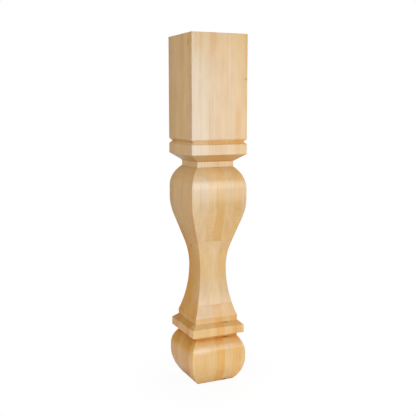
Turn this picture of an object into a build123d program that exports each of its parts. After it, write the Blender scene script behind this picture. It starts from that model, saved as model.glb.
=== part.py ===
from build123d import *
from math import atan2, degrees, sqrt
import os

# A square table leg in millimetres, +Z up, with its origin on the floor under the middle of the foot.
# It is one glued-up hardwood blank, and the same outline is cut across it from the front and from
# the side, so every level is a square and the curves meet in mitred corners. The long arris down
# each corner is then broken with a narrow flat.

# The blank and the whole leg
BLANK = 152.4             # across the flats, where the block, the vase's belly and the foot reach it
HEIGHT = 901.7            # floor to the top of the block, which is trimmed to suit the table
ARRIS = 0.8               # what breaking the long corners takes off each face

# Each cut is a depth below the face of the blank, and each rise is a height, from the floor up
FOOT_BASE_CUT = 25.0      # the foot draws in this far where it meets the floor
FOOT_LOWER_RISE = 65.5    # from the floor to the foot's full width
FOOT_FLAT_RISE = 10.5     # uncut stretch at the foot's full width
FOOT_UPPER_RISE = 45.5    # from the full width in to the ankle
ANKLE_CUT = 17.0
ANKLE_RISE = 10.2         # upright neck between the foot and the collar

COLLAR_CUT = 3.4
COLLAR_RISE = 21.3        # upright face of the collar
COLLAR_SLOPE_RISE = 11.7  # weathered top that runs in to the lip
LIP_CUT = 16.9
LIP_RISE = 12.9           # upright lip at the bottom of the flare

FLARE_RISE = 127.9        # from the lip up to the waist
WAIST_CUT = 39.4
VASE_RISE = 182.9         # from the waist up to the vase's belly
VASE_STRAIGHT = 70.0      # straight run between the waist's hollow and the belly's round
BELLY_RADIUS = 162.0
BELLY_FLAT_RISE = 26.4    # uncut stretch at the belly's full width
SHOULDER_RISE = 55.7      # round from the belly in to the neck

NECK_CUT = 25.6
NECK_RISE = 13.8
CHAMFER_RISE = 18.6       # flat slope from the neck out to the block
BAND_RISE = 25.1          # plain band between the chamfer and the groove
GROOVE_DEPTH = 6.35       # V-groove with square sides, so it is twice as tall as it is deep

# Half widths at each cut
face_x = BLANK / 2
base_x = face_x - FOOT_BASE_CUT
ankle_x = face_x - ANKLE_CUT
collar_x = face_x - COLLAR_CUT
lip_x = face_x - LIP_CUT
waist_x = face_x - WAIST_CUT
neck_x = face_x - NECK_CUT
groove_x = face_x - GROOVE_DEPTH

# Heights of the outline's corners
foot_full_z = FOOT_LOWER_RISE
foot_top_z = foot_full_z + FOOT_FLAT_RISE
ankle_z = foot_top_z + FOOT_UPPER_RISE
collar_z = ankle_z + ANKLE_RISE
slope_z = collar_z + COLLAR_RISE
lip_z = slope_z + COLLAR_SLOPE_RISE
flare_z = lip_z + LIP_RISE
waist_z = flare_z + FLARE_RISE
belly_z = waist_z + VASE_RISE
shoulder_z = belly_z + BELLY_FLAT_RISE
neck_z = shoulder_z + SHOULDER_RISE
chamfer_z = neck_z + NECK_RISE
block_z = chamfer_z + CHAMFER_RISE
groove_z = block_z + BAND_RISE + GROOVE_DEPTH

# The vase is two arcs with a tangent straight between them. The depth and height that they cover
# and the length of the straight fix the sum of their radii and the angle that both turn through.
radius_sum = (WAIST_CUT**2 + VASE_RISE**2 - VASE_STRAIGHT**2) / (2 * WAIST_CUT)
waist_radius = radius_sum - BELLY_RADIUS
vase_angle = degrees(atan2(VASE_RISE, radius_sum - WAIST_CUT) - atan2(VASE_STRAIGHT, radius_sum))

# One half of the outline, drawn from the floor up to the lip and from the belly down to meet it
with BuildSketch(Plane.XZ) as half_outline:
    with BuildLine():
        floor = Line((0, 0), (base_x, 0))
        foot_lower = TangentArc((face_x, foot_full_z), floor @ 1, tangent=(0, -1))
        foot_flat = Line(foot_lower @ 0, (face_x, foot_top_z))
        foot_upper = TangentArc(foot_flat @ 1, (ankle_x, ankle_z), tangent=(0, 1))
        collar = Polyline(
            foot_upper @ 1,
            (ankle_x, collar_z),
            (collar_x, collar_z),
            (collar_x, slope_z),
            (lip_x, lip_z),
            (lip_x, flare_z),
        )
        flare = TangentArc((waist_x, waist_z), collar @ 1, tangent=(0, -1))
        belly = JernArc((face_x, belly_z), (0, -1), BELLY_RADIUS, -vase_angle)
        straight = PolarLine(belly @ 1, VASE_STRAIGHT, direction=belly % 1)
        waist = JernArc(straight @ 1, straight % 1, waist_radius, vase_angle)
        belly_flat = Line(belly @ 0, (face_x, shoulder_z))
        shoulder = TangentArc(belly_flat @ 1, (neck_x, neck_z), tangent=(0, 1))
        block = Polyline(
            shoulder @ 1,
            (neck_x, chamfer_z),
            (face_x, block_z),
            (face_x, groove_z - GROOVE_DEPTH),
            (groove_x, groove_z),
            (face_x, groove_z + GROOVE_DEPTH),
            (face_x, HEIGHT),
            (0, HEIGHT),
        )
        axis = Line(block @ 1, floor @ 0)
    make_face()

# Seen across a diagonal, a square section is wider by the root of two. Taking half of that root
# times ARRIS off it leaves the same narrow flat along the corner at every height.
stretched = scale(half_outline.sketch_local, by=(sqrt(2), 1, 1), mode=Mode.PRIVATE)
half_diagonal = stretched.moved(Location((-ARRIS / sqrt(2), 0, 0)))
rising_diagonal = Plane(origin=(0, 0, 0), x_dir=(1, 1, 0), z_dir=(1, -1, 0))
falling_diagonal = Plane(origin=(0, 0, 0), x_dir=(1, -1, 0), z_dir=(-1, -1, 0))

# Cut across the blank from the front and the side, then across both diagonals
with BuildPart() as leg:
    Box(BLANK, BLANK, HEIGHT, align=(Align.CENTER, Align.CENTER, Align.MIN))
    for plane, half in (
        (Plane.XZ, half_outline.sketch_local),
        (Plane.YZ, half_outline.sketch_local),
        (rising_diagonal, half_diagonal),
        (falling_diagonal, half_diagonal),
    ):
        with BuildSketch(plane):
            add(half)
            mirror(about=Plane.YZ)
        extrude(amount=BLANK, both=True, mode=Mode.INTERSECT)

leg.part.label = "leg"
os.makedirs("parts", exist_ok=True)
export_step(leg.part, "parts/leg.step")
print(f"leg: {len(leg.solids())} solid, {len(leg.faces())} faces, {leg.part.volume / 1e6:.3f} litres")
print(f"waist radius {waist_radius:.1f}, vase angle {vase_angle:.2f} degrees, block bottom {block_z:.1f}")
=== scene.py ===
# %% [markdown]
# # A square table leg in pale hardwood
# The real leg carries the corner of a kitchen island. It is glued up from straight staves of pale
# hardwood, cut to one outline on all four faces, sanded and finished with a thin clear coat.
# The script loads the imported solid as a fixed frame, remakes its surface as a finer mesh with eased
# edges, gives it a solid wood texture that runs right through the blank, and sets up a plain studio.

# %% Load the frame
import math

import bmesh
import bpy
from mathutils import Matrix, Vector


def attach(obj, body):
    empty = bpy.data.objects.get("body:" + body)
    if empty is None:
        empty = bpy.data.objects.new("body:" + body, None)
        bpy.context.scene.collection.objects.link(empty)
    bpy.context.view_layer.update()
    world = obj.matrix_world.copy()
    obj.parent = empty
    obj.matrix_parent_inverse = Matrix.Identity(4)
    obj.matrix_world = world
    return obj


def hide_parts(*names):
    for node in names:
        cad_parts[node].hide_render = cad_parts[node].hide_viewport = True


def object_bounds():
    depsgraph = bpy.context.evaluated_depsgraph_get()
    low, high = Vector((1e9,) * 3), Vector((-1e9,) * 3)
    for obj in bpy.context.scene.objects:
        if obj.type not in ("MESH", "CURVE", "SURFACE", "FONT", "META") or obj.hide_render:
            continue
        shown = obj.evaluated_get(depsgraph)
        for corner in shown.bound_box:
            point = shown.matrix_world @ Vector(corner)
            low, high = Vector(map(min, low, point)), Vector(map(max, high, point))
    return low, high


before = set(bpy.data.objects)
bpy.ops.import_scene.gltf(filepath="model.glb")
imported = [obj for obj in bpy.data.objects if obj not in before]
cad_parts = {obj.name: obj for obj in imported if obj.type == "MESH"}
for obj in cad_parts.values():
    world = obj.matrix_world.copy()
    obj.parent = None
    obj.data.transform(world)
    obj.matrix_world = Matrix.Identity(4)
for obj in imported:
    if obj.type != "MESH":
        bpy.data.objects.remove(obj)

cad_low, cad_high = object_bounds()
half_face = (cad_high.x - cad_low.x) / 2
leg_height = cad_high.z
print(f"the solid is {2 * half_face:.4f} m across and {leg_height:.4f} m tall")

# %% [markdown]
# ## The camera
# The photograph looks at the leg from a little left of its front, from the height of the lower part
# of the block, with a short telephoto lens. The place is given as a turn round the leg, a reach along
# the floor and a height, because those are what a photographer would measure. The lens isn't shifted,
# so that the other views of the leg stay in the middle of the picture.

# %% Place the camera
PHOTO_SIDE = 416
FOCAL_LENGTH_IN_PIXELS = 697.2
SENSOR_MM = 36.0
CAMERA_TURN = math.radians(24.55)
CAMERA_REACH = 1.8168
CAMERA_HEIGHT = 0.7198
CAMERA_HEADING = math.radians(24.61)
CAMERA_DIP = math.radians(8.185)

camera_data = bpy.data.cameras.new("camera")
camera_data.sensor_width = SENSOR_MM
camera_data.lens = FOCAL_LENGTH_IN_PIXELS / PHOTO_SIDE * SENSOR_MM
camera = bpy.data.objects.new("camera", camera_data)
bpy.context.scene.collection.objects.link(camera)
camera.location = (
    -math.sin(CAMERA_TURN) * CAMERA_REACH,
    -math.cos(CAMERA_TURN) * CAMERA_REACH,
    CAMERA_HEIGHT,
)
camera.rotation_euler = (math.pi / 2 - CAMERA_DIP, 0, -CAMERA_HEADING)
bpy.context.scene.camera = camera
print(f"camera: {camera_data.lens:.1f} mm lens at {tuple(round(v, 3) for v in camera.location)}")

# %% [markdown]
# ## The outline
# A shaper cuts the same outline into every face, so one list of half widths and heights says it all.
# It could be typed in as many points. Here each curve is an arc that starts upright, which is how
# the cutter was drawn, so only its depth, rise or radius is named, and the points follow from them.

# %% Write the outline's depths and rises
MM = 0.001

FOOT_BASE_CUT = 25.0 * MM
FOOT_LOWER_RISE = 65.5 * MM
FOOT_FLAT_RISE = 10.5 * MM
FOOT_UPPER_RISE = 45.5 * MM
ANKLE_CUT = 17.0 * MM
ANKLE_RISE = 10.2 * MM
COLLAR_CUT = 3.4 * MM
COLLAR_RISE = 21.3 * MM
COLLAR_SLOPE_RISE = 11.7 * MM
LIP_CUT = 16.9 * MM
LIP_RISE = 12.9 * MM
FLARE_RISE = 127.9 * MM
WAIST_CUT = 39.4 * MM
VASE_RISE = 182.9 * MM
VASE_STRAIGHT = 70.0 * MM
BELLY_RADIUS = 162.0 * MM
BELLY_FLAT_RISE = 26.4 * MM
SHOULDER_RISE = 55.7 * MM
NECK_CUT = 25.6 * MM
NECK_RISE = 13.8 * MM
CHAMFER_RISE = 18.6 * MM
BAND_RISE = 25.1 * MM
GROOVE_DEPTH = 6.35 * MM

foot_full_z = FOOT_LOWER_RISE
foot_top_z = foot_full_z + FOOT_FLAT_RISE
ankle_z = foot_top_z + FOOT_UPPER_RISE
collar_z = ankle_z + ANKLE_RISE
slope_z = collar_z + COLLAR_RISE
lip_z = slope_z + COLLAR_SLOPE_RISE
flare_z = lip_z + LIP_RISE
waist_z = flare_z + FLARE_RISE
belly_z = waist_z + VASE_RISE
shoulder_z = belly_z + BELLY_FLAT_RISE
neck_z = shoulder_z + SHOULDER_RISE
chamfer_z = neck_z + NECK_RISE
block_z = chamfer_z + CHAMFER_RISE
groove_z = block_z + BAND_RISE + GROOVE_DEPTH
print(f"the block starts {block_z:.4f} m up, and its groove is at {groove_z:.4f} m")

# %% [markdown]
# The vase is two arcs joined by a straight. Their radii and the angle that both turn through follow
# from the depth and height that they cover together, with the straight kept at its own length.

# %% Work out the curves
ARC_PARTS = 18


def upright_arc(cut, level, radius, turn, deeper, upward):
    """Points of an arc that starts upright at a cut and level, then leans in (deeper 1) or out (-1)."""
    points = []
    for part in range(ARC_PARTS + 1):
        angle = turn * part / ARC_PARTS
        depth = cut + deeper * radius * (1 - math.cos(angle))
        points.append((half_face - depth, level + upward * radius * math.sin(angle)))
    return points


def spanning_arc(cut, level, end_cut, end_level):
    """The same arc, given the cut and level where it ends."""
    depth = abs(end_cut - cut)
    rise = abs(end_level - level)
    radius = (depth**2 + rise**2) / (2 * depth)
    deeper = 1 if end_cut > cut else -1
    upward = 1 if end_level > level else -1
    return upright_arc(cut, level, radius, math.asin(rise / radius), deeper, upward)


radius_sum = (WAIST_CUT**2 + VASE_RISE**2 - VASE_STRAIGHT**2) / (2 * WAIST_CUT)
vase_turn = math.atan2(VASE_RISE, radius_sum - WAIST_CUT) - math.atan2(VASE_STRAIGHT, radius_sum)

foot_lower = spanning_arc(0, foot_full_z, FOOT_BASE_CUT, 0)
foot_upper = spanning_arc(0, foot_top_z, ANKLE_CUT, ankle_z)
flare = spanning_arc(WAIST_CUT, waist_z, LIP_CUT, flare_z)
waist = upright_arc(WAIST_CUT, waist_z, radius_sum - BELLY_RADIUS, vase_turn, -1, 1)
belly = upright_arc(0, belly_z, BELLY_RADIUS, vase_turn, 1, -1)
shoulder = spanning_arc(0, shoulder_z, NECK_CUT, neck_z)
print(f"both arcs of the vase turn {math.degrees(vase_turn):.1f} degrees")

# %% [markdown]
# The rest of the outline is straight from corner to corner: the collar with its slope, and the block
# with its chamfer and its V-groove. Arcs and corners are strung together from the floor up.

# %% String the outline together
collar_corners = [
    (half_face - ANKLE_CUT, collar_z),
    (half_face - COLLAR_CUT, collar_z),
    (half_face - COLLAR_CUT, slope_z),
    (half_face - LIP_CUT, lip_z),
]
block_corners = [
    (half_face - NECK_CUT, chamfer_z),
    (half_face, block_z),
    (half_face, groove_z - GROOVE_DEPTH),
    (half_face - GROOVE_DEPTH, groove_z),
    (half_face, groove_z + GROOVE_DEPTH),
    (half_face, leg_height),
]
outline = (
    foot_lower[::-1] + foot_upper + collar_corners + flare[::-1]
    + waist[1:] + belly[::-1] + shoulder + block_corners
)
print(f"the outline has {len(outline)} points")

# %% [markdown]
# ## The leg's body
# A square section that changes size as it climbs is made by pulling one face up again and again:
# extrude it, lift it, and scale it to the next half width. The mitres at the corners come by
# themselves, as they do when a shaper passes all four faces.

# %% Pull the square up the outline
SAME_POINT = 1e-7

leg_mesh = bmesh.new()
half_now, level_now = outline[0]
bmesh.ops.create_grid(leg_mesh, x_segments=1, y_segments=1, size=half_now)
leg_mesh.faces.ensure_lookup_table()
top_face = leg_mesh.faces[0]
ring_count = 1
for half_next, level_next in outline[1:]:
    if abs(half_next - half_now) + abs(level_next - level_now) < SAME_POINT:
        continue
    old_face = top_face
    pulled = bmesh.ops.extrude_face_region(leg_mesh, geom=[old_face])
    top_face = next(item for item in pulled["geom"] if isinstance(item, bmesh.types.BMFace))
    if ring_count > 1:
        bmesh.ops.delete(leg_mesh, geom=[old_face], context="FACES_ONLY")
    ring = list(top_face.verts)
    bmesh.ops.translate(leg_mesh, verts=ring, vec=(0, 0, level_next - level_now))
    ratio = half_next / half_now
    bmesh.ops.scale(leg_mesh, verts=ring, vec=(ratio, ratio, 1))
    ring_count += 1
    half_now, level_now = half_next, level_next
bmesh.ops.recalc_face_normals(leg_mesh, faces=leg_mesh.faces)
print(f"{ring_count} rings make {len(leg_mesh.faces)} faces")

# %% [markdown]
# ## Eased edges
# Sanding by hand leaves no edge dead sharp. The long mitred corners and the outward edges of each
# moulding are rolled over by a little more than half a millimetre. Inward corners, such as the bottom
# of the groove, stay crisp, because sandpaper doesn't reach them. So only outward edges are bevelled.

# %% Ease the outward edges
EASE = 0.7 * MM
EASE_PARTS = 3
HARD_TURN = math.radians(14)


def same_corner(edge):
    """True for an edge that runs down one of the leg's four corners."""
    first, second = (vert.co for vert in edge.verts)
    return first.x * second.x > 0 and first.y * second.y > 0


def to_ease(edge):
    """Corner edges and outward moulding edges are eased."""
    if same_corner(edge):
        return True
    return edge.is_convex and edge.calc_face_angle() > HARD_TURN


leg_mesh.normal_update()
eased = [edge for edge in leg_mesh.edges if to_ease(edge)]
bmesh.ops.bevel(
    leg_mesh, geom=eased, offset=EASE, offset_type="OFFSET", segments=EASE_PARTS, profile=0.5,
    affect="EDGES", clamp_overlap=True, material=-1, loop_slide=True,
)
leg_mesh.normal_update()
print(f"eased {len(eased)} edges, which leaves {len(leg_mesh.faces)} faces")

# %% [markdown]
# ## Shading that keeps flats flat
# The faces are smooth shaded, so that the arcs look round. Edges that still turn sharply are marked
# sharp. The wide flat faces would pick up a false roundness from the narrow bevels beside them, so
# a Weighted Normal modifier lets the large faces decide the direction.

# %% Turn the mesh into an object
SHARP_TURN = math.radians(38)
WIDE_FACE_WEIGHT = 90

for face in leg_mesh.faces:
    face.smooth = True
for edge in leg_mesh.edges:
    edge.smooth = edge.calc_face_angle(0) < SHARP_TURN
leg_data = bpy.data.meshes.new("table_leg")
leg_mesh.to_mesh(leg_data)
leg_mesh.free()
leg = bpy.data.objects.new("table_leg", leg_data)
bpy.context.scene.collection.objects.link(leg)
flat_keeper = leg.modifiers.new("flat_keeper", "WEIGHTED_NORMAL")
flat_keeper.keep_sharp = True
flat_keeper.weight = WIDE_FACE_WEIGHT
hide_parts("leg")
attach(leg, "root")
print(f"{leg.name}: {len(leg_data.vertices)} vertices, {len(leg_data.polygons)} faces")

# %% [markdown]
# ## Helpers for shader nodes
# The wood is built from many small sums on the position of each point. Wired by hand, each sum would
# take four or five lines, so a few short helpers add a node, feed it and hand back its output.

# %% Define the helpers for sums and colours


def feed(tree, socket, value):
    """Link another node's output to a socket, or set the socket's own value."""
    if isinstance(value, bpy.types.NodeSocket):
        tree.links.new(value, socket)
    else:
        socket.default_value = value


def calc(tree, operation, *values):
    """Add a Math node and return its output."""
    node = tree.nodes.new("ShaderNodeMath")
    node.operation = operation
    for socket, value in zip(node.inputs, values):
        feed(tree, socket, value)
    return node.outputs[0]


def ramp_up(tree, value, low, high):
    """Add a Map Range node that climbs smoothly from 0 at low to 1 at high."""
    node = tree.nodes.new("ShaderNodeMapRange")
    node.interpolation_type = "SMOOTHSTEP"
    feed(tree, node.inputs["Value"], value)
    feed(tree, node.inputs["From Min"], low)
    feed(tree, node.inputs["From Max"], high)
    return node.outputs[0]


def ramp_down(tree, value, low, high):
    """The same ramp upside down: 1 at low and 0 at high."""
    return calc(tree, "SUBTRACT", 1.0, ramp_up(tree, value, low, high))


def blend(tree, factor, first, second, mode="MIX"):
    """Add a colour Mix node and return its result."""
    node = tree.nodes.new("ShaderNodeMix")
    node.data_type = "RGBA"
    node.blend_type = mode
    feed(tree, node.inputs["Factor"], factor)
    feed(tree, node.inputs["A"], first)
    feed(tree, node.inputs["B"], second)
    return node.outputs["Result"]


print("helpers for sums and colours ready")

# %% [markdown]
# Two more are for the wood alone: one starts a node group, and one adds a noise that is drawn out
# along the grain, because nothing in a board is as long across as it is along.

# %% Define the helpers for groups and noise


def new_group(name, inputs, outputs):
    """Start a shader node group, and return it with its input and output nodes."""
    group = bpy.data.node_groups.new(name, "ShaderNodeTree")
    for label, kind in inputs:
        group.interface.new_socket(label, in_out="INPUT", socket_type=kind)
    for label, kind in outputs:
        group.interface.new_socket(label, in_out="OUTPUT", socket_type=kind)
    return group, group.nodes.new("NodeGroupInput"), group.nodes.new("NodeGroupOutput")


def stretched_noise(tree, position, scale, detail, roughness=0.5):
    """Noise with its own scale along each axis, in cycles per metre."""
    stretch = tree.nodes.new("ShaderNodeVectorMath")
    stretch.operation = "MULTIPLY"
    feed(tree, stretch.inputs[0], position)
    stretch.inputs[1].default_value = scale
    noise = tree.nodes.new("ShaderNodeTexNoise")
    noise.inputs["Scale"].default_value = 1.0
    noise.inputs["Detail"].default_value = detail
    noise.inputs["Roughness"].default_value = roughness
    tree.links.new(stretch.outputs[0], noise.inputs["Vector"])
    return noise.outputs["Fac"]


print("helpers for groups and noise ready")

# %% [markdown]
# ## How the blank is glued up
# Look closely and the leg is a stack: layers about an inch thick from front to back, and each layer
# is a row of staves side by side. Where the waist is cut deeper than the first layer, the second
# layer shows, and its staves begin and end at curved lines across the face. A texture that only
# paints the surface can't do that. One that asks which stave each point in the solid belongs to
# gets every seam right, on all four faces and on the ends, with no drawing at all.

# %% Name the layers and staves
LAYERS = 6
OUTER_LAYER = 27.0 * MM
INNER_LAYER = 24.6 * MM
LAST_SEAM_REACH = 60.0 * MM
first_layer_seam = -half_face + OUTER_LAYER

NARROW_STAVES = 7
NARROW_STAVE = 23.6 * MM
NARROW_FIRST_SEAM = -54.5 * MM
WIDE_STAVES = 5
WIDE_STAVE = 31.3 * MM
WIDE_FIRST_SEAM = -47.0 * MM
GLUE_LINE = 0.12 * MM
print(f"{LAYERS} layers, of {NARROW_STAVES} narrow or {WIDE_STAVES} wide staves by turns")

# %% [markdown]
# The group below turns a point into a stave number and a layer number. Odd layers have wider
# staves, so that seams never line up from one layer to the next. It also says how near the closest
# glue line is, for a hairline in the colour and the bump. The outer layers are thicker, so past the
# last seam the distance is pushed out of reach, or a false seam would show on the faces. Each stave
# also gets random numbers of its own, and another value of DEAL shuffles them.

# %% Build the stave map group
CELL_MIDDLE = 0.5
DEAL = 7.5

stave_map, inlet, outlet = new_group(
    "Stave map",
    [("Position", "NodeSocketVector")],
    [
        ("Stave", "NodeSocketFloat"),
        ("Layer", "NodeSocketFloat"),
        ("Glue line", "NodeSocketFloat"),
        ("Random", "NodeSocketColor"),
    ],
)
axes = stave_map.nodes.new("ShaderNodeSeparateXYZ")
stave_map.links.new(inlet.outputs["Position"], axes.inputs[0])
across, deep = axes.outputs["X"], axes.outputs["Y"]


def cell_number(value, first_seam, pitch, count):
    """Which of so many cells a value is in, and how far it is from the nearest seam."""
    steps = calc(stave_map, "DIVIDE", calc(stave_map, "SUBTRACT", value, first_seam), pitch)
    number = calc(stave_map, "ADD", calc(stave_map, "FLOOR", steps), 1.0)
    number = calc(stave_map, "MINIMUM", calc(stave_map, "MAXIMUM", number, 0.0), count - 1)
    near = calc(stave_map, "MULTIPLY", calc(stave_map, "PINGPONG", steps, 0.5), pitch)
    return number, near


def pick(switch, when_zero, when_one):
    """when_zero where the switch is 0, and when_one where it is 1."""
    kept = calc(stave_map, "MULTIPLY", when_zero, calc(stave_map, "SUBTRACT", 1.0, switch))
    return calc(stave_map, "MULTIPLY_ADD", when_one, switch, kept)


layer, layer_near = cell_number(deep, first_layer_seam, INNER_LAYER, LAYERS)
narrow, narrow_near = cell_number(across, NARROW_FIRST_SEAM, NARROW_STAVE, NARROW_STAVES)
wide, wide_near = cell_number(across, WIDE_FIRST_SEAM, WIDE_STAVE, WIDE_STAVES)
odd_layer = calc(stave_map, "MODULO", layer, 2.0)
stave = pick(odd_layer, narrow, wide)
side_near = pick(odd_layer, narrow_near, wide_near)
past_last_seam = calc(stave_map, "GREATER_THAN", calc(stave_map, "ABSOLUTE", deep), LAST_SEAM_REACH)
layer_near = calc(stave_map, "ADD", layer_near, past_last_seam)
nearest = calc(stave_map, "MINIMUM", side_near, layer_near)
dice = stave_map.nodes.new("ShaderNodeTexWhiteNoise")
dice.noise_dimensions = "2D"
cell = stave_map.nodes.new("ShaderNodeCombineXYZ")
feed(stave_map, cell.inputs["X"], calc(stave_map, "ADD", stave, CELL_MIDDLE))
feed(stave_map, cell.inputs["Y"], calc(stave_map, "ADD", layer, DEAL))
stave_map.links.new(cell.outputs[0], dice.inputs["Vector"])
feed(stave_map, outlet.inputs["Stave"], stave)
feed(stave_map, outlet.inputs["Layer"], layer)
feed(stave_map, outlet.inputs["Glue line"], ramp_down(stave_map, nearest, GLUE_LINE / 2, GLUE_LINE * 2))
feed(stave_map, outlet.inputs["Random"], dice.outputs["Color"])
print("stave map:", len(stave_map.nodes), "nodes")

# %% [markdown]
# ## Growth rings and fibres
# Each stave was sawn from somewhere in a log, so its rings curve about a pith that lies off to one
# side. The distance from that pith, with a slow wander along the grain, gives rings that read as
# straight grain on the faces, as long pointed arches where the curves cut through them, and as arcs
# on the end of the block. Each ring darkens slowly and ends at once, as late wood does.

# %% Start the rings and fibres group with its rings
PITH_REACH = 0.20
WANDER_SCALE = (9.0, 9.0, 2.2)
WANDER_REACH = 0.010
LATE_WOOD_POWER = 2.5
RING_END = 0.88

ring_group, inlet, outlet = new_group(
    "Rings and fibres",
    [("Position", "NodeSocketVector"), ("Random", "NodeSocketColor"), ("Ring width", "NodeSocketFloat")],
    [("Ring", "NodeSocketFloat"), ("Fibre", "NodeSocketFloat"), ("Drift", "NodeSocketFloat")],
)
axes = ring_group.nodes.new("ShaderNodeSeparateXYZ")
ring_group.links.new(inlet.outputs["Position"], axes.inputs[0])
chance = ring_group.nodes.new("ShaderNodeSeparateColor")
ring_group.links.new(inlet.outputs["Random"], chance.inputs[0])


def from_pith(value, turn, quarter):
    """Squared distance along one axis from the stave's pith, which lies off to one side."""
    swing = calc(ring_group, "SINE", calc(ring_group, "ADD", turn, quarter))
    gap = calc(ring_group, "SUBTRACT", value, calc(ring_group, "MULTIPLY", swing, PITH_REACH))
    return calc(ring_group, "MULTIPLY", gap, gap)


pith_turn = calc(ring_group, "MULTIPLY", chance.outputs["Green"], 2 * math.pi)
gap_x = from_pith(axes.outputs["X"], pith_turn, 0.0)
gap_y = from_pith(axes.outputs["Y"], pith_turn, math.pi / 2)
pith_distance = calc(ring_group, "SQRT", calc(ring_group, "ADD", gap_x, gap_y))
wander = stretched_noise(ring_group, inlet.outputs["Position"], WANDER_SCALE, detail=2.0)
waved = calc(ring_group, "MULTIPLY_ADD", wander, WANDER_REACH, pith_distance)
saw = calc(ring_group, "FRACT", calc(ring_group, "DIVIDE", waved, inlet.outputs["Ring width"]))
ring_edge = ramp_down(ring_group, saw, RING_END, 1.0)
ring_line = calc(ring_group, "MULTIPLY", calc(ring_group, "POWER", saw, LATE_WOOD_POWER), ring_edge)
feed(ring_group, outlet.inputs["Ring"], ring_line)
print("rings:", len(ring_group.nodes), "nodes")

# %% [markdown]
# Fibres are noise drawn out along the leg, and the drift is a wider, slower noise. Each stave slides
# its noise up by a random length, so that no fibre runs on from one stave into the next.

# %% Add the fibres and the drift
FIBRE_SCALE = (520.0, 520.0, 7.0)
DRIFT_SCALE = (14.0, 14.0, 3.2)
LONGEST_SLIDE = 3.0

slide = ring_group.nodes.new("ShaderNodeCombineXYZ")
feed(ring_group, slide.inputs["Z"], calc(ring_group, "MULTIPLY", chance.outputs["Red"], LONGEST_SLIDE))
slid = ring_group.nodes.new("ShaderNodeVectorMath")
slid.operation = "ADD"
ring_group.links.new(inlet.outputs["Position"], slid.inputs[0])
ring_group.links.new(slide.outputs[0], slid.inputs[1])
fibre = stretched_noise(ring_group, slid.outputs[0], FIBRE_SCALE, detail=3.0, roughness=0.6)
drift = stretched_noise(ring_group, slid.outputs[0], DRIFT_SCALE, detail=2.0)
feed(ring_group, outlet.inputs["Fibre"], fibre)
feed(ring_group, outlet.inputs["Drift"], drift)
print("rings and fibres:", len(ring_group.nodes), "nodes")

# %% [markdown]
# ## Knots and flecks
# A few marks sit in the wood: pin knots, torn grain at the edges of the mouldings, and places where a
# board runs tan. The same marks also place painted highlights and a painted reflection. Each is a
# soft ellipsoid in the solid, ragged by noise, and one group makes any of them.

# %% Build the fleck group
RAGGED_SCALE = (420.0, 420.0, 160.0)
RAGGED_REACH = 0.9
FLECK_CORE = 0.75
FLECK_RIM = 1.45

fleck_group, inlet, outlet = new_group(
    "Fleck",
    [("Position", "NodeSocketVector"), ("Centre", "NodeSocketVector"), ("Reach", "NodeSocketVector")],
    [("Mask", "NodeSocketFloat")],
)
offset = fleck_group.nodes.new("ShaderNodeVectorMath")
offset.operation = "SUBTRACT"
fleck_group.links.new(inlet.outputs["Position"], offset.inputs[0])
fleck_group.links.new(inlet.outputs["Centre"], offset.inputs[1])
share = fleck_group.nodes.new("ShaderNodeVectorMath")
share.operation = "DIVIDE"
fleck_group.links.new(offset.outputs[0], share.inputs[0])
fleck_group.links.new(inlet.outputs["Reach"], share.inputs[1])
length = fleck_group.nodes.new("ShaderNodeVectorMath")
length.operation = "LENGTH"
fleck_group.links.new(share.outputs[0], length.inputs[0])
ragged = stretched_noise(fleck_group, inlet.outputs["Position"], RAGGED_SCALE, detail=2.0)
rough_length = calc(fleck_group, "MULTIPLY_ADD", ragged, RAGGED_REACH, length.outputs["Value"])
feed(fleck_group, outlet.inputs["Mask"], ramp_down(fleck_group, rough_length, FLECK_CORE, FLECK_RIM))
print("fleck:", len(fleck_group.nodes), "nodes")

# %% [markdown]
# ## Colours of the staves
# A glued blank is never one colour. Cream, straw, pinkish and honey boards lie side by side, and a
# board drifts in colour along its length. The front layer is the one that shows most, so its seven
# staves have chosen colours at five heights: the block, the vase's shoulder, the vase, its flare and
# the foot. The second layer has five staves, chosen at four heights. The rest are dealt by chance
# from a short stack for each part of the leg.

# %% Name the wood colours
IVORY = (0.60, 0.50, 0.39)
CREAM = (0.60, 0.48, 0.34)
STRAW = (0.63, 0.465, 0.28)
CUSTARD = (0.66, 0.49, 0.28)
BLUSH = (0.59, 0.425, 0.26)
SAND = (0.60, 0.43, 0.245)
WHEAT = (0.63, 0.44, 0.225)
BISCUIT = (0.61, 0.395, 0.165)
TOAST = (0.63, 0.415, 0.19)
CARAMEL = (0.61, 0.375, 0.145)
HONEY = (0.60, 0.355, 0.125)
OAT = (0.68, 0.47, 0.23)
GOLD = (0.68, 0.42, 0.16)
AMBER = (0.67, 0.39, 0.13)

BLOCK_STAVES = (IVORY, CREAM, BLUSH, SAND, STRAW, WHEAT, WHEAT)
SHOULDER_STAVES = (CREAM, CREAM, STRAW, WHEAT, STRAW, WHEAT, WHEAT)
VASE_STAVES = (STRAW, STRAW, WHEAT, CARAMEL, WHEAT, TOAST, STRAW)
FLARE_STAVES = (BLUSH, BLUSH, BLUSH, CARAMEL, WHEAT, CARAMEL, SAND)
FOOT_STAVES = (OAT, OAT, OAT, AMBER, OAT, GOLD, OAT)
SECOND_BLOCK = (STRAW, CREAM, BLUSH, CREAM, STRAW)
SECOND_VASE = (BISCUIT, WHEAT, CUSTARD, TOAST, BISCUIT)
SECOND_FLARE = (BISCUIT, BLUSH, STRAW, SAND, BISCUIT)
SECOND_FOOT = (HONEY, BISCUIT, WHEAT, BISCUIT, HONEY)
DEALT_BLOCK = (STRAW, CREAM, STRAW, CREAM, STRAW, CREAM)
DEALT_VASE = (BISCUIT, HONEY, BISCUIT, TOAST, HONEY, BISCUIT)
DEALT_FOOT = (HONEY, BISCUIT, HONEY, BISCUIT, TOAST, HONEY)
print("named the colours of", len(BLOCK_STAVES), "front staves and", len(SECOND_BLOCK), "second ones")
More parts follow.
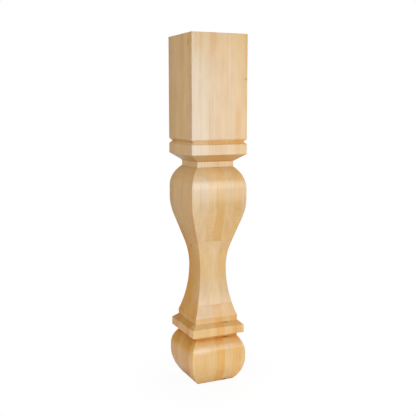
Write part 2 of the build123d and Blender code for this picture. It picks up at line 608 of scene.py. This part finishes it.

# %% [markdown]
# ## The hardwood
# The material asks the stave map where each point is and gives it that stave's colour. Grain, end
# grain, edge grain, painted light and shade, and marks then only change that colour, one after the
# other, so any one of them can be tried alone. Object coordinates carry it all, so the wood stays fixed
# in the leg.

# %% Start the hardwood material
RING_WIDTH = 3.4 * MM

hardwood = bpy.data.materials.new("laminated_hardwood")
hardwood.use_nodes = True
wood = hardwood.node_tree
shader = wood.nodes["Principled BSDF"]
place = wood.nodes.new("ShaderNodeTexCoord")
position = place.outputs["Object"]
position_parts = wood.nodes.new("ShaderNodeSeparateXYZ")
wood.links.new(position, position_parts.inputs[0])
height = position_parts.outputs["Z"]

staves = wood.nodes.new("ShaderNodeGroup")
staves.node_tree = stave_map
wood.links.new(position, staves.inputs["Position"])
grain = wood.nodes.new("ShaderNodeGroup")
grain.node_tree = ring_group
wood.links.new(position, grain.inputs["Position"])
wood.links.new(staves.outputs["Random"], grain.inputs["Random"])
grain.inputs["Ring width"].default_value = RING_WIDTH
print("hardwood: started with", len(wood.nodes), "nodes")

# %% [markdown]
# A row of stave colours is a ramp with one flat step for each stave. On the way down the leg, each
# row fades into the next over a zone of heights, given in metres above the floor.

# %% Colour the front layer
SHOULDER_ZONE = (0.54, 0.64)
VASE_ZONE = (0.45, 0.53)
FLARE_ZONE = (0.22, 0.32)
FOOT_ZONE = (0.15, 0.19)
# The flare's shade is painted shade: it darkens the upward-facing flare, which the lamps light more than
# the rest.
FLARE_PAINTED_SHADE = (0.93, 0.90, 0.88)


def colour_steps(value, colours):
    """A colour ramp with one flat step for each colour, spread evenly from 0 to 1."""
    ramp = wood.nodes.new("ShaderNodeValToRGB")
    ramp.color_ramp.interpolation = "CONSTANT"
    steps = ramp.color_ramp.elements
    while len(steps) < len(colours):
        steps.new(0.5)
    for number, (step, colour) in enumerate(zip(steps, colours)):
        step.position = number / len(colours)
        step.color = (*colour, 1)
    wood.links.new(value, ramp.inputs[0])
    return ramp.outputs["Color"]


def stave_share(count):
    """How far along a layer of so many staves this stave is, from 0 to 1."""
    return calc(wood, "DIVIDE", calc(wood, "ADD", staves.outputs["Stave"], CELL_MIDDLE), count)


def below(zone):
    """1 below a zone of heights, fading to 0 at its top."""
    return ramp_down(wood, height, *zone)


def tinted(part, colour, shade):
    """The colour, multiplied by a shade on the given part of the leg."""
    return blend(wood, part, colour, (*shade, 1), "MULTIPLY")


front_share = stave_share(NARROW_STAVES)
flare_colour = tinted(1.0, colour_steps(front_share, FLARE_STAVES), FLARE_PAINTED_SHADE)
front_colour = colour_steps(front_share, BLOCK_STAVES)
front_colour = blend(wood, below(SHOULDER_ZONE), front_colour, colour_steps(front_share, SHOULDER_STAVES))
front_colour = blend(wood, below(VASE_ZONE), front_colour, colour_steps(front_share, VASE_STAVES))
front_colour = blend(wood, below(FLARE_ZONE), front_colour, flare_colour)
front_colour = blend(wood, below(FOOT_ZONE), front_colour, colour_steps(front_share, FOOT_STAVES))
print("hardwood: front layer coloured in", NARROW_STAVES, "staves")

# %% [markdown]
# The layers behind show where the vase is cut deep, and on the side faces. Their colours turn from
# pale to honey a little lower than those in front. The random red of each stave picks its card from
# the stack.

# %% Colour the layers behind
INNER_VASE_ZONE = (0.34, 0.46)
INNER_FLARE_ZONE = (0.245, 0.305)
INNER_FOOT_ZONE = (0.15, 0.22)

inner_vase_part = below(INNER_VASE_ZONE)
inner_flare_part = below(INNER_FLARE_ZONE)
inner_foot_part = below(INNER_FOOT_ZONE)


def by_height(value, block, vase, flare, foot):
    """Colours of an inner layer, which change on the way down from the block to the foot."""
    colour = blend(wood, inner_vase_part, colour_steps(value, block), colour_steps(value, vase))
    colour = blend(wood, inner_flare_part, colour, colour_steps(value, flare))
    return blend(wood, inner_foot_part, colour, colour_steps(value, foot))


luck = wood.nodes.new("ShaderNodeSeparateColor")
wood.links.new(staves.outputs["Random"], luck.inputs[0])
second_share = stave_share(WIDE_STAVES)
second_colour = by_height(second_share, SECOND_BLOCK, SECOND_VASE, SECOND_FLARE, SECOND_FOOT)
dealt_colour = by_height(luck.outputs["Red"], DEALT_BLOCK, DEALT_VASE, DEALT_VASE, DEALT_FOOT)
behind_front = calc(wood, "GREATER_THAN", staves.outputs["Layer"], 0.5)
behind_second = calc(wood, "GREATER_THAN", staves.outputs["Layer"], 1.5)
wood_colour = blend(wood, behind_front, front_colour, second_colour)
wood_colour = blend(wood, behind_second, wood_colour, dealt_colour)
print("hardwood: all", LAYERS, "layers coloured")

# %% [markdown]
# Rings and fibres only deepen the stave's own colour, so they are multiplied in. The drift is slow
# and gentle, and turns a stave warmer here and paler there. Streaks are fibres as long as the leg,
# a few millimetres wide, and a blurred mottle keeps any stave from looking printed. The front boards
# are a touch warmer near the top of the block.

# %% Add the grain to the colour
TOP_ZONE = (0.77, 0.89)
TOP_SHADE = (1.0, 0.97, 0.84)
STREAK_SCALE = (150.0, 150.0, 1.6)
MOTTLE_SCALE = (55.0, 55.0, 18.0)
RING_STRENGTH = 0.40
RING_SHADE = (0.90, 0.83, 0.74)
GLUE_STRENGTH = 0.35
GLUE_SHADE = (0.72, 0.58, 0.42)

front_only = calc(wood, "SUBTRACT", 1.0, behind_front)
front_top_part = calc(wood, "MULTIPLY", ramp_up(wood, height, *TOP_ZONE), front_only)
wood_colour = tinted(front_top_part, wood_colour, TOP_SHADE)
streak = stretched_noise(wood, position, STREAK_SCALE, detail=2.0)
mottle = stretched_noise(wood, position, MOTTLE_SCALE, detail=3.0)
GRAIN = (
    # noise, where it starts and where it is full, strength, shade
    (grain.outputs["Drift"], 0.42, 0.72, 0.55, (0.93, 0.84, 0.70)),
    (grain.outputs["Fibre"], 0.40, 0.75, 1.00, (0.93, 0.90, 0.86)),
    (streak, 0.50, 0.72, 0.60, (0.95, 0.88, 0.76)),
    (mottle, 0.35, 0.70, 1.00, (0.95, 0.93, 0.89)),
)
for noise, start, full, strength, shade in GRAIN:
    part = calc(wood, "MULTIPLY", ramp_up(wood, noise, start, full), strength)
    wood_colour = tinted(part, wood_colour, shade)
ring_part = calc(wood, "MULTIPLY", grain.outputs["Ring"], RING_STRENGTH)
wood_colour = tinted(ring_part, wood_colour, RING_SHADE)
glue_part = calc(wood, "MULTIPLY", staves.outputs["Glue line"], GLUE_STRENGTH)
wood_colour = tinted(glue_part, wood_colour, GLUE_SHADE)
print("hardwood: grain added")

# %% [markdown]
# End grain drinks in more of the finish, so the groove, the chamfer and the slopes are deeper and
# warmer than the flats beside them. It could be painted on face by face. How far the surface leans
# from upright says the same thing, and says it for the curves too.

# %% Darken the end grain
END_GRAIN_START = 0.10
END_GRAIN_SHADE = (1.0, 0.91, 0.70)

lean = wood.nodes.new("ShaderNodeSeparateXYZ")
wood.links.new(place.outputs["Normal"], lean.inputs[0])
level_share = calc(wood, "ABSOLUTE", lean.outputs["Z"])
end_grain = ramp_up(wood, level_share, END_GRAIN_START, 1.0)
wood_colour = tinted(end_grain, wood_colour, END_GRAIN_SHADE)
print("hardwood: end grain darkened")

# %% [markdown]
# The boards were sawn flat and stacked from front to back, so the left and right faces show edge
# grain, which is warmer than the wide faces of the same boards. The side faces also carry painted
# shade, warmer and deeper, most of all in the outermost layer, and in the next layer too where the
# waist and the foot are cut into it.

# %% Warm the edge grain and paint shade on the sides
SIDE_TURN = (0.50, 0.75)
EDGE_GRAIN_AND_SIDE_SHADE = (0.96, 0.89, 0.80, 1)
OUTER_EDGE_GRAIN_AND_SHADE = (0.96, 0.81, 0.63, 1)
middle_layer = (LAYERS - 1) / 2

edge_grain = ramp_up(wood, calc(wood, "ABSOLUTE", lean.outputs["X"]), *SIDE_TURN)
from_middle = calc(wood, "ABSOLUTE", calc(wood, "SUBTRACT", staves.outputs["Layer"], middle_layer))
outermost = calc(wood, "GREATER_THAN", from_middle, middle_layer - 0.5)
two_outer_layers = calc(wood, "GREATER_THAN", from_middle, middle_layer - 1.5)
waist_part = calc(wood, "SUBTRACT", inner_vase_part, inner_flare_part)
deep_cut_part = calc(wood, "ADD", waist_part, inner_foot_part)
next_inward = calc(wood, "MULTIPLY", two_outer_layers, deep_cut_part)
warm_edges = calc(wood, "MAXIMUM", outermost, next_inward)
# Part edge grain's own warmer tone, part painted shade on the side faces.
edge_grain_and_side_shade = blend(wood, warm_edges, EDGE_GRAIN_AND_SIDE_SHADE, OUTER_EDGE_GRAIN_AND_SHADE)
wood_colour = blend(wood, edge_grain, wood_colour, edge_grain_and_side_shade, "MULTIPLY")
print("hardwood: edge grain warmed")

# %% [markdown]
# Light and shade are painted into the colour in bands, each between two heights with soft edges.
# Painted shade darkens the slope under the block, the neck, and most of all the recess between the
# collar and the foot, where a moulding overhangs. Painted light makes the groove's cheeks on the
# front and a few other places paler. Some bands are on the front and back faces only, some on the
# sides only, and the rest go all round.

# %% Paint light and shade in bands
groove_low = groove_z - GROOVE_DEPTH
groove_high = groove_z + GROOVE_DEPTH
round_low = shoulder_z + 25.2 * MM
# Every row is painted light or shade: a shade above 1 paints light, one below 1 paints shade.
LIGHT_AND_SHADE_BANDS = (
    # what it is, faces, lowest and highest height, softness below and above in mm, shade
    ("cheeks of the groove", "front", groove_z - 3 * MM, groove_high - MM, 1, 1, (1.19, 1.14, 1.08)),
    ("upper cheek of the groove", "side", groove_z, groove_high - MM, 1, 1, (0.83, 0.81, 0.81)),
    ("low edge of the groove", "front", groove_low, groove_low + 2 * MM, 1, 1, (0.97, 0.93, 0.86)),
    ("under the block", "all", chamfer_z + MM, block_z - MM, 1, 1, (0.92, 0.80, 0.62)),
    ("under the block", "side", chamfer_z + 5 * MM, block_z - MM, 2, 1, (0.92, 1.0, 1.34)),
    ("low edge of the slope", "front", chamfer_z, chamfer_z + 2 * MM, 1, 3, (0.98, 0.86, 0.56)),
    ("low edge of the slope", "side", chamfer_z - MM, chamfer_z + 3 * MM, 1, 2, (0.86, 0.87, 0.88)),
    ("neck", "all", neck_z, chamfer_z, 1, 1, (0.99, 0.95, 0.88)),
    ("corner under the neck", "side", neck_z - 3 * MM, neck_z - MM, 2, 1, (0.81, 0.81, 0.82)),
    ("shoulder of the vase", "all", round_low, neck_z, 15, 1, (1.0, 0.96, 0.89)),
    ("shoulder of the vase", "side", round_low + 12 * MM, neck_z - 8 * MM, 10, 4, (1.0, 1.02, 1.14)),
    ("lip", "front", lip_z, flare_z, 1, 1, (1.07, 1.05, 1.0)),
    ("lip", "side", lip_z, flare_z, 1, 1, (0.92, 0.84, 0.44)),
    ("slope of the collar", "all", slope_z + MM, lip_z - MM, 1, 1, (0.87, 0.87, 0.93)),
    ("slope of the collar", "side", slope_z + MM, lip_z - MM, 1, 1, (1.02, 1.05, 1.14)),
    ("foot and collar", "side", 0, slope_z, 1, 6, (0.95, 0.95, 0.88)),
    ("ankle's recess", "all", ankle_z, collar_z, 3, 0.5, (0.94, 0.69, 0.36)),
    ("top of the foot", "all", ankle_z - 8 * MM, collar_z, 18, 0.5, (0.93, 0.83, 0.58)),
    ("top of the foot", "side", foot_top_z + 30 * MM, ankle_z - 3 * MM, 3, 2, (0.98, 1.05, 1.34)),
    ("round of the foot", "front", foot_top_z + 26 * MM, foot_top_z + 33 * MM, 7, 5, (0.84, 0.82, 0.77)),
    ("round of the foot", "side", foot_top_z + 8 * MM, foot_top_z + 22 * MM, 6, 4, (0.97, 0.94, 0.72)),
)


def height_band(low, high, soft_below, soft_above):
    """1 between two heights, fading out below and above them."""
    rise = ramp_up(wood, height, low - soft_below, low)
    fall = ramp_up(wood, height, high, high + soft_above)
    return calc(wood, "SUBTRACT", rise, fall)


face_masks = {"all": 1.0, "front": calc(wood, "SUBTRACT", 1.0, edge_grain), "side": edge_grain}
for name, faces, low, high, soft_below, soft_above, shade in LIGHT_AND_SHADE_BANDS:
    band = height_band(low, high, soft_below * MM, soft_above * MM)
    wood_colour = tinted(calc(wood, "MULTIPLY", band, face_masks[faces]), wood_colour, shade)
print("hardwood:", len(LIGHT_AND_SHADE_BANDS), "bands shaded")

# %% [markdown]
# ## Marks in the wood
# Marks of several kinds share the fleck group. Each is placed by where it sits on the leg, in metres:
# across, towards the back, and up. Then come how far it reaches each way, and how strong it is. The
# first kind are long runs where a board turns tan.

# %% Add the tan patches
PATCH_SHADE = (0.94, 0.81, 0.60)
PATCHES = (
    # name, centre, reach, strength
    ("tan top of the corner staves", (-0.060, -0.076, 0.895), (0.030, 0.050, 0.070), 0.55),
    ("tan top of the third stave", (-0.019, -0.076, 0.890), (0.013, 0.010, 0.075), 0.90),
    ("tan top of the edge stave", (0.073, -0.076, 0.880), (0.009, 0.020, 0.110), 0.90),
    ("tan run in the sixth stave", (0.052, -0.076, 0.670), (0.012, 0.010, 0.090), 0.80),
    ("tan shoulder of the corner staves", (-0.044, -0.064, 0.558), (0.030, 0.030, 0.017), 0.35),
    ("brown run in the fifth stave", (0.028, -0.060, 0.410), (0.013, 0.020, 0.040), 0.60),
)


def place_marks(marks):
    """One mask for a list of marks, each with its own centre, reach and strength."""
    total = 0.0
    for name, centre, reach, strength in marks:
        mark = wood.nodes.new("ShaderNodeGroup")
        mark.node_tree = fleck_group
        mark.label = name
        wood.links.new(position, mark.inputs["Position"])
        mark.inputs["Centre"].default_value = centre
        mark.inputs["Reach"].default_value = reach
        total = calc(wood, "MAXIMUM", total, calc(wood, "MULTIPLY", mark.outputs["Mask"], strength))
    return total


wood_colour = tinted(place_marks(PATCHES), wood_colour, PATCH_SHADE)
print("hardwood:", len(PATCHES), "tan patches")

# %% [markdown]
# On the left face, the slope under the block goes from a deep tan at its near end to a cool, pale tone
# at its far end, where it mirrors more of the bright room. The sweep lamp gives a part of that. The
# rest is painted: a painted reflection at the far end and a darker tint at the near end, each a mark
# cut off by a band that keeps it on the slope.

# %% Paint the reflection and tint on the left ends of the slope
# The far end's shade is a painted reflection, and the near end's is a darker tint.
SLOPE_END_REFLECTION_AND_TINT = (
    # name, centre, reach, strength, shade
    ("far left end", (-0.0634, 0.048, 0.594), (0.050, 0.085, 0.050), 1.0, (0.96, 1.17, 1.70)),
    ("near left end", (-0.0660, -0.038, 0.594), (0.022, 0.045, 0.050), 0.7, (0.82, 0.76, 0.70)),
)
on_slope = height_band(chamfer_z + MM, block_z - MM, MM, MM)
for name, centre, reach, strength, shade in SLOPE_END_REFLECTION_AND_TINT:
    end_mask = place_marks([(name, centre, reach, strength)])
    wood_colour = tinted(calc(wood, "MULTIPLY", on_slope, end_mask), wood_colour, shade)
print("hardwood:", len(SLOPE_END_REFLECTION_AND_TINT), "ends of the slope tinted")

# %% [markdown]
# Two painted highlights sit where the foot rounds over, on the corner staves and the middle ones.
# They lighten the wood, which multiplying can't do as evenly, so a pale colour is mixed in.

# %% Add the painted highlights
PAINTED_HIGHLIGHT_COLOUR = (0.76, 0.64, 0.56, 1)
PAINTED_HIGHLIGHTS = (
    # name, centre, reach, strength
    ("pale flash on the foot's corner staves", (-0.048, -0.069, 0.0955), (0.036, 0.020, 0.0110), 0.34),
    ("pale flash on the foot's middle staves", (0.015, -0.069, 0.0980), (0.040, 0.020, 0.0090), 0.12),
)
wood_colour = blend(wood, place_marks(PAINTED_HIGHLIGHTS), wood_colour, PAINTED_HIGHLIGHT_COLOUR)
print("hardwood:", len(PAINTED_HIGHLIGHTS), "pale flashes")

# %% [markdown]
# Pin knots and torn grain come last, because they are nearly black. The cutter tears a few fibres
# where it leaves the wood, so the torn places sit at the sharp lower edges of the mouldings.

# %% Add the knots and torn grain
DARK_SHADE = (0.26, 0.13, 0.05)
DARK_MARKS = (
    # name, centre, reach, strength
    ("edge pin knot", (0.072, -0.076, 0.7905), (0.006, 0.004, 0.003), 0.45),
    ("side pin knot", (-0.076, -0.055, 0.878), (0.004, 0.006, 0.011), 0.28),
    ("waist pin knot", (-0.044, 0.007, 0.360), (0.006, 0.006, 0.006), 0.40),
    ("torn grain at the lip", (0.024, -0.060, 0.1625), (0.014, 0.008, 0.0022), 0.60),
    ("torn grain under the collar", (0.024, -0.060, 0.1220), (0.016, 0.009, 0.0028), 0.70),
    ("torn grain at the base", (0.024, -0.054, 0.000), (0.015, 0.009, 0.007), 0.85),
)
dark_marks = place_marks(DARK_MARKS)
wood_colour = tinted(dark_marks, wood_colour, DARK_SHADE)
feed(wood, shader.inputs["Base Color"], wood_colour)
print("hardwood:", len(DARK_MARKS), "knots and torn places")

# %% [markdown]
# ## Satin finish
# The clear coat is thin and well rubbed down: it gives a broad soft shine, a little broken up by the
# fibres, and duller on end grain, where it sinks in. The two sawn ends aren't coated at all, so they
# are dullest. The bump is fine enough to be felt, not seen.

# %% Finish the hardwood
SMOOTHEST = 0.19
FIBRE_DULLING = 0.10
END_GRAIN_DULLING = 0.16
SAWN_END_DULLING = 0.32
SAWN_END_TURN = (0.90, 0.99)
GLUE_DIP = 0.8
MARK_DIP = 0.6
BUMP_STRENGTH = 0.35
BUMP_HEIGHT = 0.1 * MM

roughness = calc(wood, "MULTIPLY_ADD", grain.outputs["Fibre"], FIBRE_DULLING, SMOOTHEST)
roughness = calc(wood, "MULTIPLY_ADD", end_grain, END_GRAIN_DULLING, roughness)
sawn_end = ramp_up(wood, level_share, *SAWN_END_TURN)
roughness = calc(wood, "MULTIPLY_ADD", sawn_end, SAWN_END_DULLING, roughness)
feed(wood, shader.inputs["Roughness"], roughness)
shader.inputs["IOR"].default_value = 1.5
shader.inputs["Specular IOR Level"].default_value = 0.40

glue_dip = calc(wood, "MULTIPLY", staves.outputs["Glue line"], GLUE_DIP)
mark_dip = calc(wood, "MULTIPLY", dark_marks, MARK_DIP)
fine_height = calc(wood, "SUBTRACT", grain.outputs["Fibre"], glue_dip)
fine_height = calc(wood, "SUBTRACT", fine_height, mark_dip)
bump = wood.nodes.new("ShaderNodeBump")
bump.inputs["Strength"].default_value = BUMP_STRENGTH
bump.inputs["Distance"].default_value = BUMP_HEIGHT
feed(wood, bump.inputs["Height"], fine_height)
wood.links.new(bump.outputs["Normal"], shader.inputs["Normal"])
leg_data.materials.append(hardwood)
print("hardwood:", len(wood.nodes), "nodes")

# %% [markdown]
# ## The studio
# The leg stands on a white card on a darker studio floor, before a white background. The card has a
# hole a little smaller than the foot, so that the underside can be looked at from below. It is made
# as a small square whose edges are pulled far out, after which the square itself is deleted.

# %% Lay the floor
FLOOR_REACH = 4.0
HOLE_HALF = half_face - FOOT_BASE_CUT - EASE

floor_mesh = bmesh.new()
bmesh.ops.create_grid(floor_mesh, x_segments=1, y_segments=1, size=HOLE_HALF)
hole_face = list(floor_mesh.faces)
spread = bmesh.ops.extrude_edge_only(floor_mesh, edges=list(floor_mesh.edges))
outer_corners = [item for item in spread["geom"] if isinstance(item, bmesh.types.BMVert)]
reach_ratio = FLOOR_REACH / HOLE_HALF
bmesh.ops.scale(floor_mesh, verts=outer_corners, vec=(reach_ratio, reach_ratio, 1))
bmesh.ops.delete(floor_mesh, geom=hole_face, context="FACES_ONLY")
floor_mesh.normal_update()
upside_down = [face for face in floor_mesh.faces if face.normal.z < 0]
bmesh.ops.reverse_faces(floor_mesh, faces=upside_down)
floor_data = bpy.data.meshes.new("floor")
floor_mesh.to_mesh(floor_data)
floor_mesh.free()
floor = bpy.data.objects.new("floor", floor_data)
bpy.context.scene.collection.objects.link(floor)
print("floor:", len(floor_data.polygons), "faces round the hole")

# %% [markdown]
# The card takes a faint soft shadow, and fades to plain white a short way out, so that no horizon
# shows. Only what the camera sees is lifted to white. The light that the wood gets back is the
# card's near the foot and the darker floor's beyond, which keeps the left faces from washing out.

# %% Paint the floor
CARD_WHITE = (0.80, 0.79, 0.78, 1)
STUDIO_GREY = (0.22, 0.22, 0.22, 1)
CARD_EDGE = (0.60, 1.10)
SHADOW_FADE = (0.10, 0.28)
SHADOW_KEPT = 0.05

paper = bpy.data.materials.new("white_floor")
paper.use_nodes = True
tree = paper.node_tree
matt = tree.nodes["Principled BSDF"]
matt.inputs["Roughness"].default_value = 0.9
matt.inputs["Specular IOR Level"].default_value = 0.1
spot = tree.nodes.new("ShaderNodeTexCoord")
distance = tree.nodes.new("ShaderNodeVectorMath")
distance.operation = "LENGTH"
tree.links.new(spot.outputs["Object"], distance.inputs[0])
beyond_card = ramp_up(tree, distance.outputs["Value"], *CARD_EDGE)
feed(tree, matt.inputs["Base Color"], blend(tree, beyond_card, CARD_WHITE, STUDIO_GREY))

white = tree.nodes.new("ShaderNodeEmission")
path = tree.nodes.new("ShaderNodeLightPath")
seen = path.outputs["Is Camera Ray"]
fade = ramp_up(tree, distance.outputs["Value"], *SHADOW_FADE)
shown_white = calc(tree, "MULTIPLY_ADD", fade, SHADOW_KEPT, 1.0 - SHADOW_KEPT)
lifted = tree.nodes.new("ShaderNodeMixShader")
feed(tree, lifted.inputs[0], calc(tree, "MULTIPLY", shown_white, seen))
tree.links.new(matt.outputs[0], lifted.inputs[1])
tree.links.new(white.outputs[0], lifted.inputs[2])
print("floor: painted with", len(tree.nodes), "nodes")

# %% [markdown]
# A camera below the floor would see nothing but card. So the card is clear to such a camera, and to
# nothing else: light and reflections meet it as before.

# %% Clear the floor from below
clear = tree.nodes.new("ShaderNodeBsdfTransparent")
sides = tree.nodes.new("ShaderNodeNewGeometry")
see_through = tree.nodes.new("ShaderNodeMixShader")
feed(tree, see_through.inputs[0], calc(tree, "MULTIPLY", sides.outputs["Backfacing"], seen))
tree.links.new(lifted.outputs[0], see_through.inputs[1])
tree.links.new(clear.outputs[0], see_through.inputs[2])
tree.links.new(see_through.outputs[0], tree.nodes["Material Output"].inputs["Surface"])
floor_data.materials.append(paper)
print("floor: clear from below")

# %% [markdown]
# The background is white to the camera only. What it sheds on the leg is less than a tenth of that,
# as in a studio whose walls are dark, so that the softboxes decide where the wood shines.

# %% Light the world
WORLD_LIGHT = (0.07, 0.07, 0.07, 1)
PLAIN_WHITE = (1, 1, 1, 1)

world = bpy.data.worlds.new("studio")
bpy.context.scene.world = world
world.use_nodes = True
tree = world.node_tree
sky = tree.nodes["Background"]
path = tree.nodes.new("ShaderNodeLightPath")
feed(tree, sky.inputs["Color"], blend(tree, path.outputs["Is Camera Ray"], WORLD_LIGHT, PLAIN_WHITE))
print("world lit")

# %% [markdown]
# The key softbox stands to the right of the front, at about the height of the vase. It lights the
# front faces, and its reflection gives the soft shine on the belly. A wide one on the left lights the
# left faces, a low one in front fills the foot, and a weak one overhead softens the shadows. The
# sweep, low behind, is what the left end of the slope under the block reflects. The rest are for
# other views: one behind on the right for the two far faces, a small one over the end of the block,
# and one under the floor for the base. Each is given by how bright it looks, and its power follows
# from that and its size, so that a lamp can be made larger without changing what it mirrors.

# %% Set up the softboxes
WATTS_FOR_BRIGHTNESS = 4
SOFTBOXES = (
    # name, turn in degrees, reach, height, width, tall, brightness, height it points at
    ("key", 20, 1.35, 0.72, 0.60, 0.74, 4.42, 0.64),
    ("left", -62, 1.35, 1.12, 1.1, 1.00, 3.8, 0.56),
    ("low", -38, 1.20, 0.16, 0.9, 0.26, 6.5, 0.10),
    ("top", 0, 0.5, 2.20, 1.4, 1.4, 1.0, 0.0),
    ("back", 132, 0.95, 0.64, 0.7, 0.9, 4.3, 0.45),
    ("sweep", 171, 1.70, 0.12, 0.8, 0.30, 1.2, 0.30),
    ("crown", 0, 0.0, 1.20, 0.13, 0.13, 10.0, leg_height),
    ("under", 0, 0.0, -0.60, 0.6, 0.6, 1.0, 0.0),
)


def softbox(name, turn, reach, lamp_height, width, tall, brightness, aim_height):
    """A rectangular lamp, turned to face the leg. Its brightness is what a camera would read off it."""
    lamp_data = bpy.data.lights.new(name, "AREA")
    lamp_data.shape = "RECTANGLE"
    lamp_data.size = width
    lamp_data.size_y = tall
    lamp_data.energy = WATTS_FOR_BRIGHTNESS * brightness * width * tall
    lamp = bpy.data.objects.new(name, lamp_data)
    bpy.context.scene.collection.objects.link(lamp)
    angle = math.radians(turn)
    lamp.location = (math.sin(angle) * reach, -math.cos(angle) * reach, lamp_height)
    dip = math.atan2(lamp_height - aim_height, reach)
    lamp.rotation_euler = (math.pi / 2 - dip, 0, angle)


for row in SOFTBOXES:
    softbox(*row)
bpy.context.scene.view_settings.view_transform = "Standard"
print("softboxes:", ", ".join(row[0] for row in SOFTBOXES))
